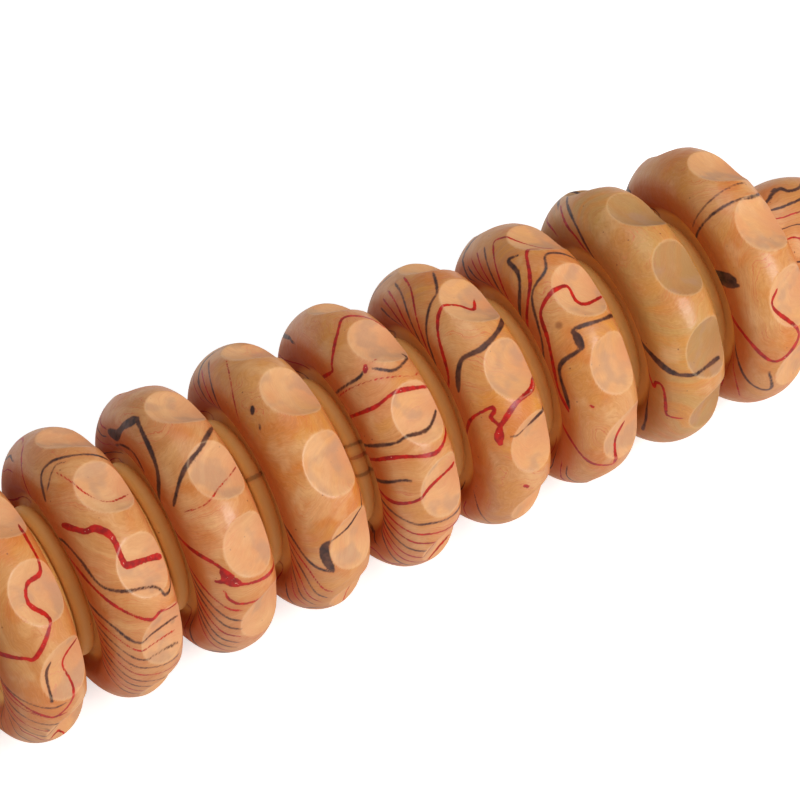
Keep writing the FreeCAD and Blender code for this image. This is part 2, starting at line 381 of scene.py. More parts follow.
def make_wheel(node, style, lines):
    """Turns and cuts a wheel. Its fields cut, low (the collar) and flank go from 0 to 1."""
    middle, half_width, radius = node_axis_span(node)
    outline = wheel_outline(half_width, radius)
    x, r, angle = turned_grid(outline, WHEEL_AROUND)
    across = np.repeat(over_the_rim(outline)[:, None], WHEEL_AROUND, axis=1)
    r, cut = hand_cut(node, middle, x, r, angle, style["seed"])
    points = turned_points(x, r, angle)
    outside = np.clip((r - COLLAR_RADIUS) / WOBBLE_FADE, 0, 1)
    r = r - outside * np.abs(waves(points, style["seed"] + WOBBLE_SEED, WOBBLE_LENGTH, TURNING_WOBBLE))
    fields = {"layers": layer_coordinates(points, style), "cut": cut,
              "low": np.clip((LOW_RADIUS - r) / LOW_SOFTNESS, 0, 1),
              "flank": np.clip((WHEEL_RADIUS - FLANK_DEPTH - r) / FLANK_DEPTH, 0, 1),
              "by_hand": between_angles(angle, *style["by_hand"])}
    for dye in ("red", "dark"):
        fields[dye + "_line"] = nearness_to_lines(lines, dye, r, angle, across)
    wheel = grid_mesh(node + "_turned", x + middle, r, angle, fields)
    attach(wheel, node)
    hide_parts(node)
    wheel.data.materials.append(laminated_wood(node + "_wood", style))


# ---- handles: the outline, in millimetres from the middle of the round shoulder ----
SHOULDER_OFFSET = 17.8  # end wheel's middle to the shoulder's middle
SHOULDER_RADIUS = 13.1
SHOULDER_HALF_LENGTH = 14.8
SHOULDER_BLEND = 9.5
NECK_RADIUS = 8.4
NECK_OFFSET = 19.0
GRIP_OFFSET = 29.0
GRIP_START_RADIUS = 10.0
GRIP_BEAD_ROUND = 1.6
GRIP_RADIUS = 13.0
GRIP_BAND_LENGTH = 34.0
GRIP_BAND_TO_END = 18.0
HANDLE_END_RADIUS = 8.0
HANDLE_BORE_RADIUS = 3.2
COUNTERBORE_RADIUS = 6.5
COUNTERBORE_DEPTH = 16.0
HANDLE_AROUND = 200
NECK_TINT_RADIUS = 10.5  # below this radius a handle's wood gets the flanks' painted shade, fully over the depth
NECK_TINT_DEPTH = 4.0


def shoulder_radius_at(offset):
    """The shoulder's radius at a distance along the rod from its middle."""
    return SHOULDER_RADIUS * math.sqrt(1 - (offset / SHOULDER_HALF_LENGTH) ** 2)


def handle_outline(start_x, end_x, shoulder_x):
    """A right-hand handle's closed outline: shoulder, neck, bead, grip, rounded end, and its bore."""
    blend_radius = shoulder_radius_at(SHOULDER_BLEND)
    slope = -SHOULDER_BLEND / blend_radius * (SHOULDER_RADIUS / SHOULDER_HALF_LENGTH) ** 2
    start = (start_x, shoulder_radius_at(start_x - shoulder_x))
    blend = (shoulder_x + SHOULDER_BLEND, blend_radius)
    grip_x = shoulder_x + GRIP_OFFSET
    grip_start = (grip_x, GRIP_START_RADIUS)
    bead_end = (grip_x + 2 * GRIP_BEAD_ROUND, GRIP_START_RADIUS)
    band_end = (end_x - GRIP_BAND_TO_END, GRIP_RADIUS)
    band_start = (band_end[0] - GRIP_BAND_LENGTH, GRIP_RADIUS)
    floor_x = end_x - COUNTERBORE_DEPTH
    corners = [(end_x, HANDLE_END_RADIUS), (end_x, COUNTERBORE_RADIUS), (floor_x, COUNTERBORE_RADIUS),
               (floor_x, HANDLE_BORE_RADIUS), (start_x, HANDLE_BORE_RADIUS), start]
    first = math.degrees(math.acos((start_x - shoulder_x) / SHOULDER_HALF_LENGTH))
    last = math.degrees(math.acos(SHOULDER_BLEND / SHOULDER_HALF_LENGTH))
    return joined(
        round_points((shoulder_x, 0), SHOULDER_HALF_LENGTH, SHOULDER_RADIUS, first, last, 44),
        curve_points([blend, (shoulder_x + NECK_OFFSET, NECK_RADIUS), grip_start],
                     (1, slope), (1, -slope / 2), 40),
        round_points((grip_x + GRIP_BEAD_ROUND, GRIP_START_RADIUS), GRIP_BEAD_ROUND, GRIP_BEAD_ROUND,
                     180, 0, 15),
        curve_points([bead_end, band_start], (1, -slope / 2), (1, 0), 32),
        np.linspace(band_start, band_end, 60),
        round_points((band_end[0], HANDLE_END_RADIUS), GRIP_BAND_TO_END, GRIP_RADIUS - HANDLE_END_RADIUS,
                     90, 0, 44),
        *[np.linspace(*ends) for ends in zip(corners, corners[1:], (4, 8, 4, 24, 9))])


def make_handle(side, style):
    node = side + "_handle"
    sign = SIDES[side]
    low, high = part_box(node)
    near, far = sorted((abs(low.x) / MM, abs(high.x) / MM))
    last_wheel = WHEELS[-1] if sign > 0 else WHEELS[0]
    shoulder_x = abs(node_axis_span(last_wheel)[0]) + SHOULDER_OFFSET
    x, r, angle = turned_grid(handle_outline(near, far, shoulder_x), HANDLE_AROUND)
    if sign < 0:
        x, r = -x[::-1], r[::-1]
    fields = {"layers": layer_coordinates(turned_points(x - sign * shoulder_x, r, angle), style),
              "flank": np.clip((NECK_TINT_RADIUS - r) / NECK_TINT_DEPTH, 0, 1)}
    handle = grid_mesh(node + "_turned", x, r, angle, fields)
    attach(handle, ROOT_BODY)
    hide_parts(node)
    handle.data.materials.append(laminated_wood(node + "_wood", style))


# ---- materials ----

def colour(red, green, blue):
    """A colour given as it looks on a screen, each part from 0 to 255."""
    def linear(part):
        part /= 255
        return part / 12.92 if part <= 0.04045 else ((part + 0.055) / 1.055) ** 2.4
    return (linear(red), linear(green), linear(blue), 1.0)


class Value:
    """A node's output. Numbers and other values can be added to it, taken from it and multiply it."""

    def __init__(self, sheet, socket):
        self.sheet = sheet
        self.socket = socket

    def __add__(self, other):
        return self.sheet.maths("ADD", self, other)

    def __sub__(self, other):
        return self.sheet.maths("SUBTRACT", self, other)

    def __rsub__(self, other):
        return self.sheet.maths("SUBTRACT", other, self)

    def __mul__(self, other):
        return self.sheet.maths("MULTIPLY", self, other)


class Sheet:
    """A new material, and short ways to add nodes to it."""

    def __init__(self, name):
        self.material = bpy.data.materials.new(name)
        self.material.use_nodes = True
        self.tree = self.material.node_tree
        self.tree.nodes.clear()
        self.surface = self.node("BsdfPrincipled")
        self.node("OutputMaterial", Value(self, self.surface.outputs[0]))

    def put(self, socket, value):
        if isinstance(value, Value):
            self.tree.links.new(value.socket, socket)
        else:
            socket.default_value = value

    def node(self, kind, *values, **settings):
        """A new node with the given settings, and values for its first inputs in their order."""
        made = self.tree.nodes.new("ShaderNode" + kind)
        for setting, value in settings.items():
            setattr(made, setting, value)
        for socket, value in zip(made.inputs, values):
            self.put(socket, value)
        return made

    def outputs(self, kind, *values, **settings):
        """The outputs of such a node, in their order."""
        return [Value(self, socket) for socket in self.node(kind, *values, **settings).outputs]

    def output(self, kind, *values, **settings):
        return self.outputs(kind, *values, **settings)[0]

    def shade(self, **inputs):
        """Sets inputs of the surface shader; an underscore in a name stands for a space."""
        for name, value in inputs.items():
            self.put(self.surface.inputs[name.replace("_", " ")], value)

    def maths(self, operation, a, b=0.0):
        return self.output("Math", a, b, operation=operation)

    def most(self, a, b):
        return self.maths("MAXIMUM", a, b)

    def least(self, a, b):
        return self.maths("MINIMUM", a, b)

    def spread(self, value, low, high, to_low=0.0, to_high=1.0, smooth=False):
        """value from low..high to to_low..to_high, held at the ends."""
        curve = "SMOOTHSTEP" if smooth else "LINEAR"
        return self.output("MapRange", value, low, high, to_low, to_high, interpolation_type=curve)

    def vector(self, operation, a, b):
        return self.output("VectorMath", a, b, operation=operation)

    def parts(self, vector):
        return self.outputs("SeparateXYZ", vector)

    def field(self, name, kind="Fac"):
        """A field of the mesh: a number, or a triple if kind is Vector. It is 0 where there is none."""
        return Value(self, self.node("Attribute", attribute_name=name).outputs[kind])

    def place(self):
        """The point's place in the row frame, in millimetres."""
        place = Value(self, self.node("TexCoord").outputs["Object"])
        return self.vector("MULTIPLY", place, (1 / MM, 1 / MM, 1 / MM))

    def noise(self, vector, scale=1.0, detail=2.0, roughness=0.5):
        return self.output("TexNoise", vector, 0.0, scale, detail, roughness)

    def noise_along(self, value, scale, detail):
        return self.output("TexNoise", (0, 0, 0), value, scale, detail, noise_dimensions="1D")

    def cloud(self, vector, scale, detail, start, full, share=1.0):
        """A share in soft patches, where the noise is high."""
        return self.spread(self.noise(vector, scale, detail), start, full, 0.0, share, smooth=True)

    def stray(self, vector, scale, detail, height):
        """A number that wanders about zero."""
        return (self.noise(vector, scale, detail) - 0.5) * height

    def dots(self, vector, scale, channel, start, full, outer, inner, smooth=False):
        """Scattered dots: one in each cell of a pattern whose random colour is high in the channel."""
        distance, random = self.outputs("TexVoronoi", vector, 0.0, scale)[:2]
        chosen = self.spread(self.parts(random)[channel], start, full)
        return self.spread(distance, outer, inner, smooth=smooth) * chosen

    def mix(self, share, a, b):
        node = self.node("Mix", share, data_type="RGBA")
        for socket, value in zip(node.inputs[6:8], (a, b)):  # its two colours
            self.put(socket, value)
        return Value(self, node.outputs[2])

    def tint(self, share, base, shown):
        """base with a share of another colour over it, given as it looks on a screen."""
        return self.mix(share, base, colour(*shown))

    def ramp(self, value, stops):
        """A colour ramp. Its stops are (position, colour), the first at 0 and the last at 1."""
        node = self.node("ValToRGB", value)
        elements = node.color_ramp.elements
        elements[0].color = stops[0][1]
        elements[1].color = stops[-1][1]
        for position, shown in stops[1:-1]:
            elements.new(position).color = shown
        return Value(self, node.outputs[0])

    def bump(self, height, strength, distance):
        node = self.node("Bump", strength, distance)
        self.put(node.inputs["Height"], height)
        return Value(self, node.outputs[0])


# For each dye, a ramp over the stack's depth says how near the nearest vein is and how thick it is.
# The ramp is stored in steps, and veins sit on steps.
STACK_REACH = 32.0  # depth from the middle that the ramp covers, each way
RAMP_STEPS = 255
VEIN_REACH = 1.5  # distance from a vein's middle where the ramp stops counting
THICKEST = 2.0  # thickness that the ramp stores as 1
VEIN_CORE = 0.7  # share of a vein's half thickness that is fully dyed


def vein_stops(veins):
    """Ramp stops for a list of (depth, thickness): red part nearness, green part thickness."""
    step = 2 * STACK_REACH / RAMP_STEPS
    snapped = sorted((round((depth + STACK_REACH) / step) * step - STACK_REACH, thickness)
                     for depth, thickness in veins)
    nothing = (0.0, 0.0, 0.0, 1.0)
    stops = [(0.0, nothing)]

    def add(depth, nearness, thickness):
        position = (depth + STACK_REACH) / (2 * STACK_REACH)
        stops.append((position, (nearness, thickness / THICKEST, 0.0, 1.0)))

    rows = [(-math.inf, 0.0), *snapped, (math.inf, 0.0)]
    for (before, _), (depth, thickness), (after, next_thickness) in zip(rows, rows[1:], rows[2:]):
        if depth - before > 2 * VEIN_REACH:
            add(depth - VEIN_REACH, 0.0, thickness)
        add(depth, 1.0, thickness)
        if after - depth > 2 * VEIN_REACH:
            add(depth + VEIN_REACH, 0.0, thickness)
        else:
            add((depth + after) / 2, 1 - (after - depth) / 2 / VEIN_REACH, (thickness + next_thickness) / 2)
    stops.append((1.0, nothing))
    return stops


def layer_veins(sheet, depth, swelling, veins, soft):
    """How much of a point is dyed, how far it is from a dyed veneer, and half that vein's thickness."""
    shown = sheet.ramp(sheet.spread(depth, -STACK_REACH, STACK_REACH), vein_stops(veins))
    nearness, thickness, _ = sheet.outputs("SeparateColor", shown)
    away = (1.0 - nearness) * VEIN_REACH
    half = thickness * (THICKEST / 2) * swelling
    vein = sheet.spread(away, half + soft, half * VEIN_CORE, smooth=True)
    return vein, away, half


# ---- the laminated wood: colours as they look on a screen, and sizes in millimetres ----
PALE_CLOUD = (236, 184, 128)
GRAIN_COLOUR = (186, 104, 54)
PALE_FIBRE = (240, 190, 140)
BROWN_FIBRE = (170, 92, 50)
# Painted shade: the flanks turn deeper and more orange towards the hub, standing in for the shade and warm
# bounce light between the wheels; the handles' necks get it too.
FLANK_PAINTED_SHADE = (196, 94, 30)
FLANK_PAINTED_SHADE_SHARE = 0.75
# Painted light: the collar is made lighter and yellower, standing in for the light it catches between the
# wheels.
COLLAR_PAINTED_LIGHT = (255, 199, 112)
COLLAR_PAINTED_LIGHT_SHARE = 0.92
COLLAR_VEIN_LOSS = 0.55  # how much fainter the veins are on a collar
STAIN_COLOUR = (205, 104, 58)
STAIN_SHARE = 0.22
DARK_DYES = ((102, 58, 38), (58, 29, 21))
RED_DYES = ((198, 20, 0), (146, 6, 0))
CHIP_COLOUR = (226, 186, 160)
KNOT_COLOUR = (128, 66, 34)
KNOT_SHARE = 0.6
SPECK_COLOUR = (120, 50, 34)
SPECK_SHARE = 0.7
CUT_COLOUR = (240, 194, 148)
CUT_SHARE = 0.34
ROUGH_CUT_COLOUR = (176, 134, 108)
# Painted highlight: a light line round each scallop's edge, standing in for the light its rounded edge
# catches.
CUT_EDGE_HIGHLIGHT = (250, 214, 166)
CUT_EDGE_HIGHLIGHT_SHARE = 0.16
HAIRLINES = ((0.62, 3.0, (206, 92, 60)), (0.85, 40.0, (216, 110, 56)))  # scale, offset and colour
HAIRLINE_LEVEL = 0.52  # the wandering noise's value that shows as a line, and how sharply
HAIRLINE_WIDTH = 0.012
SEED_STEP = (31.7, 17.3)  # how far apart two seeds' noises are taken
BAND_SEED_STEP = 7.0
CLOUD_STEP = 50.0  # how far the pale clouds' noise is taken from the others
RED_SOFTNESS = 0.10  # millimetres over which a vein's edge fades
DARK_SOFTNESS = 0.18
STAIN_REACH = 1.2  # how far from a vein its dye has crept, and from a listed vein
LINE_STAIN_REACH = 0.9
LINE_FRAY = 0.9  # how far a listed line follows the fibres
LINE_HALF = 1.4  # half thickness that each millimetre within such a line counts as
STREAK_ROUGHNESS = 0.6
BUMP_HEIGHT = 0.0004  # metres


def streaks(sheet, layers, across_scale, along_scale, detail):
    """Noise that follows the veneers: fine across them and long along them."""
    depth, along, aside = layers
    place = sheet.output("CombineXYZ", depth * across_scale, along * along_scale, aside * along_scale)
    return sheet.noise(place, 1.0, detail, STREAK_ROUGHNESS)


def undyed_wood(sheet, style, shift, layers):
    """The wood without its veins: bands, patches, grain, hairlines, painted shade on the flanks and painted
    light on the collar. Returns it and its grain.
    """
    depth = layers[0]
    first, second, patch, warm = style["woods"]
    banding = sheet.noise_along(depth + style["seed"] * BAND_SEED_STEP, scale=0.33, detail=2.0)
    wood = sheet.mix(sheet.spread(banding, 0.36, 0.64), colour(*first), colour(*second))
    apart = sheet.vector("ADD", shift, (CLOUD_STEP, 0, 0))
    for vector, scale, detail, start, full, share, shown in (
            (shift, 0.065, 2.0, 0.40, 0.66, 0.85, patch),
            (shift, 0.10, 3.0, 0.50, 0.66, 0.70, warm),
            (apart, 0.12, 3.0, 0.54, 0.68, 0.45, PALE_CLOUD)):
        wood = sheet.tint(sheet.cloud(vector, scale, detail, start, full, share), wood, shown)
    grain = streaks(sheet, layers, across_scale=2.6, along_scale=0.22, detail=3.0)
    fibres = streaks(sheet, layers, across_scale=9.0, along_scale=0.7, detail=2.0)
    for noise, start, full, share, shown in (
            (grain, 0.30, 0.70, 0.28, GRAIN_COLOUR),
            (fibres, 0.48, 0.72, 0.16, PALE_FIBRE),
            (fibres, 0.44, 0.30, 0.20, BROWN_FIBRE)):
        wood = sheet.tint(sheet.spread(noise, start, full, 0.0, share), wood, shown)
    # painted shade on the flanks and the handles' necks, deepening towards the rod
    wood = sheet.tint(sheet.field("flank") * FLANK_PAINTED_SHADE_SHARE, wood, style.get("flank", FLANK_PAINTED_SHADE))
    for scale, offset, shown in HAIRLINES:
        wander = sheet.noise_along(depth + offset, scale, detail=0.0)
        line = sheet.spread(sheet.maths("ABSOLUTE", wander - HAIRLINE_LEVEL), HAIRLINE_WIDTH, 0.0)
        here = sheet.spread(sheet.noise(shift, scale=0.13), 0.42, 0.58, to_high=0.75)
        wood = sheet.tint(line * here, wood, shown)
    # painted light on the collar
    return sheet.tint(sheet.field("low") * COLLAR_PAINTED_LIGHT_SHARE, wood, COLLAR_PAINTED_LIGHT), grain


def with_veins(sheet, style, wood, shift, depth, fray):
    """The wood with its dyed veins and the stain beside them. Returns it and where the veins are."""
    swelling = sheet.spread(sheet.noise(shift, scale=0.22), 0.30, 0.70, to_low=0.6, to_high=1.3)
    fade = sheet.spread(sheet.noise(shift, scale=0.10, detail=1.0), 0.28, 0.34, to_low=0.25, smooth=True)
    reds, from_red, half_red = layer_veins(sheet, depth, swelling, style["reds"], RED_SOFTNESS)
    darks, from_dark, _ = layer_veins(sheet, depth, swelling, style["darks"], DARK_SOFTNESS)
    stain = sheet.spread(sheet.least(from_red, from_dark), STAIN_REACH, 0.0, smooth=True)
    layered = 1.0 - sheet.field("by_hand")
    fade = fade * layered
    red_edge = EDGE_REACH - sheet.field("red_line") + fray * LINE_FRAY
    dark_edge = EDGE_REACH - sheet.field("dark_line") + fray * LINE_FRAY
    reds = sheet.most(reds * fade, sheet.spread(red_edge, RED_SOFTNESS, -RED_SOFTNESS, smooth=True))
    darks = sheet.most(darks * fade, sheet.spread(dark_edge, DARK_SOFTNESS, -DARK_SOFTNESS, smooth=True))
    half_red = sheet.most(half_red * fade, red_edge * -LINE_HALF)
    line_stain = sheet.spread(sheet.least(red_edge, dark_edge), LINE_STAIN_REACH, 0.0, smooth=True)
    stain = sheet.most(stain * layered, line_stain)
    wood = sheet.tint(stain * STAIN_SHARE, wood, STAIN_COLOUR)
    faint = 1.0 - sheet.field("low") * COLLAR_VEIN_LOSS
    reds = reds * faint
    darks = darks * faint
    for vein, (first, second), scale in ((darks, DARK_DYES, 0.6), (reds, RED_DYES, 0.8)):
        dye = sheet.mix(sheet.spread(sheet.noise(shift, scale), 0.35, 0.65), colour(*first), colour(*second))
        wood = sheet.mix(vein, wood, dye)
    thick_red = reds * sheet.spread(half_red, 0.40, 0.60)
    chipped = thick_red * sheet.spread(sheet.noise(shift, scale=1.9, detail=1.0), 0.70, 0.73)
    return sheet.tint(chipped, wood, CHIP_COLOUR), sheet.most(reds, darks)


def with_marks(sheet, style, wood, shift, veins):
    """The wood with knots, specks, the scallops' bare faces and a painted highlight along their edges."""
    knots = sheet.dots(shift, 0.16, channel=0, start=0.965, full=0.975, outer=0.17, inner=0.05, smooth=True)
    specks = sheet.dots(shift, 0.55, channel=1, start=0.84, full=0.86, outer=0.13, inner=0.05)
    wood = sheet.tint(knots * KNOT_SHARE, wood, KNOT_COLOUR)
    wood = sheet.tint(specks * SPECK_SHARE, wood, SPECK_COLOUR)
    cut = sheet.field("cut")
    bare = cut * (1.0 - veins)
    wood = sheet.tint(bare * style.get("cut_share", CUT_SHARE), wood, style.get("cut", CUT_COLOUR))
    rough = sheet.cloud(shift, scale=0.17, detail=2.0, start=0.48, full=0.66, share=0.46)
    wood = sheet.tint(bare * rough, wood, ROUGH_CUT_COLOUR)
    painted_edge_highlight = cut * (1.0 - cut) * 4.0    # painted highlight along the scallops' edges, 1 where a point is half cut
    return sheet.tint(painted_edge_highlight * CUT_EDGE_HIGHLIGHT_SHARE, wood, CUT_EDGE_HIGHLIGHT)


def lacquer(sheet, wood, shift, grain):
    """A thin satin coat over uneven wood, worn off in the scallops and thin on the flanks."""
    dull = sheet.most(sheet.field("cut"), sheet.field("flank"))
    dents = sheet.noise(shift, scale=0.35) + sheet.noise(shift, scale=1.4) * 0.25 - grain * 0.12
    satin = sheet.spread(sheet.noise(shift, scale=0.5), 0.3, 0.7, to_low=0.36, to_high=0.48)
    sheet.shade(Base_Color=wood,
                Roughness=satin + dull * 0.18,
                Normal=sheet.bump(dents, strength=0.40, distance=BUMP_HEIGHT),
                Specular_IOR_Level=0.36,
                Coat_Weight=(1.0 - dull) * 0.22,
                Coat_Roughness=0.22)


def laminated_wood(name, style, flat=False):
    """Wavy veneers pressed into a block: tan wood in faint bands, with red and dark dyed veins, lacquered.
    If flat, the veneers lie across Z, for a mesh without the layer field."""
    sheet = Sheet(name)
    place = sheet.place()
    if flat:
        along, aside, stack_depth = sheet.parts(place)
    else:
        stack_depth, along, aside = sheet.parts(sheet.field("layers", "Vector"))
    shift = sheet.vector("ADD", place, (style["seed"] * SEED_STEP[0], style["seed"] * SEED_STEP[1], 0))
    fray = sheet.stray(shift, scale=1.6, detail=1.0, height=0.30)
    depth = stack_depth + sheet.stray(shift, scale=0.28, detail=2.0, height=1.2) + fray
    wood, grain = undyed_wood(sheet, style, shift, (depth, along, aside))
    wood, veins = with_veins(sheet, style, wood, shift, depth, fray)
    wood = with_marks(sheet, style, wood, shift, veins)
    lacquer(sheet, wood, shift, grain)
    return sheet.material


# ---- steel ----
STEEL = (196, 190, 180)
ROD_STEEL = (190, 184, 174)
DULL_ZINC = (150, 144, 132)
DARKER = 0.86  # a turning mark's shade of the steel
RING_SCALE = 9.0
RING_HEIGHT = 0.0001  # metres


def turned_steel(name, shown, rough):
    """Zinc-plated steel with fine turning marks and a few dull patches."""
    sheet = Sheet(name)
    place = sheet.place()
    x, y, z = sheet.parts(place)
    radius = sheet.maths("SQRT", y * y + z * z)
    rings = sheet.noise(sheet.output("CombineXYZ", x * RING_SCALE, radius * RING_SCALE))
    patches = sheet.cloud(place, scale=0.4, detail=3.0, start=0.40, full=0.65)
    marked = colour(*[part * DARKER for part in shown])
    base = sheet.mix(sheet.spread(rings, 0.3, 0.7), colour(*shown), marked)
    base = sheet.tint(patches * 0.35, base, DULL_ZINC)
    sheet.shade(Base_Color=base, Metallic=1.0,
                Roughness=patches * 0.14 + rough,
                Normal=sheet.bump(rings, strength=0.25, distance=RING_HEIGHT))
    return sheet.material


# ---- every piece's wood ----
# woods are the undyed veneers: two that alternate, one in large patches and one in warm clouds.
# reds and darks are the dyed veneers: (depth in the stack in mm, thickness in mm). cut, cut_share
# and flank are the scallops' colour, how strong it is, and the painted shade colour on the flanks.
TAN = (207, 136, 72)
PALE = (220, 157, 95)
PINK = (222, 145, 90)
ORANGE = (212, 118, 40)
OLIVE = (204, 154, 84)
HONEY = (218, 144, 60)
COMMON = (TAN, PALE, HONEY, ORANGE)

WHEEL_STYLES = (
    dict(tilt=62, turn=143, seed=11, dish=-6, woods=COMMON, by_hand=(60, 195),
         reds=((22, 0.5), (12, 0.4), (3, 0.3), (-7, 0.4), (-12, 0.4), (-17, 0.4)),
         darks=((17, 0.4), (8, 0.3), (-2, 0.3), (-9.5, 0.4), (-14.5, 0.4))),
    dict(tilt=75, turn=58, seed=12, dish=-7, woods=(TAN, PALE, PINK, ORANGE), by_hand=(45, 210),
         reds=((24, 0.5), (17, 0.4), (5, 0.6), (-6, 0.5), (-12.5, 0.4), (-19.5, 0.4)),
         darks=((21, 0.4), (-2, 0.5), (-10.5, 0.4), (-18, 0.4))),
    dict(tilt=105, turn=70, seed=13, dish=-9, woods=(TAN, PALE, PINK, ORANGE), by_hand=(42, 212),
         reds=((24, 0.5), (17, 0.5), (6, 0.4), (-5, 0.4), (-12, 0.4), (-21, 0.4)),
         darks=((21, 0.5), (10, 0.5), (-1, 0.4), (-9, 0.4), (-19, 0.4))),
    dict(tilt=90, turn=103.6, seed=14, dish=-6, woods=(HONEY, TAN, PALE, ORANGE), by_hand=(42, 212),
         reds=((9.4, 0.4), (2, 0.4), (-10, 0.4), (-18, 0.4)),
         darks=((13.7, 0.7), (-6, 0.4), (-16, 0.5))),
    dict(tilt=80, turn=58.6, seed=15, dish=-4, woods=(TAN, PALE, PINK, HONEY), by_hand=(45, 214),
         reds=((14, 0.7), (5, 0.6), (-3, 0.6), (-16, 0.5), (-23, 0.5)),
         darks=((21, 0.6), (9.5, 0.5), (1, 0.4), (-11, 0.5), (-20, 0.4))),
    dict(tilt=115, turn=175, seed=16, dish=-6, woods=(TAN, HONEY, PALE, ORANGE), by_hand=(40, 214),
         reds=((26, 0.6), (17, 0.7), (3, 0.4), (-7, 0.4), (-20, 0.4)),
         darks=((10, 0.9), (-3, 0.4), (-12, 0.3))),
    dict(tilt=120, turn=158, seed=17, dish=-6, woods=(TAN, HONEY, PALE, ORANGE), by_hand=(38, 205),
         reds=((26, 0.6), (14, 0.6), (5, 0.5), (-5, 0.4)),
         darks=((22, 0.7), (17, 0.6), (9, 0.5), (0, 0.4), (-10, 0.4))),
    dict(tilt=95, turn=99.6, seed=18, dish=-5, woods=(OLIVE, HONEY, TAN, OLIVE), by_hand=(38, 218),
         cut=(156, 122, 82), cut_share=0.52, flank=(184, 120, 54),
         reds=((7.6, 0.7), (-14, 0.5)),
         darks=((13.3, 0.9), (-18, 0.4))),
    dict(tilt=100, turn=136.6, seed=19, dish=-6, woods=(HONEY, TAN, PALE, ORANGE), by_hand=(42, 218),
         reds=((24, 0.4), (12, 0.4), (-10, 0.4)),
         darks=((20, 0.7), (-4, 0.4))),
)
BOTH = (dark, red)
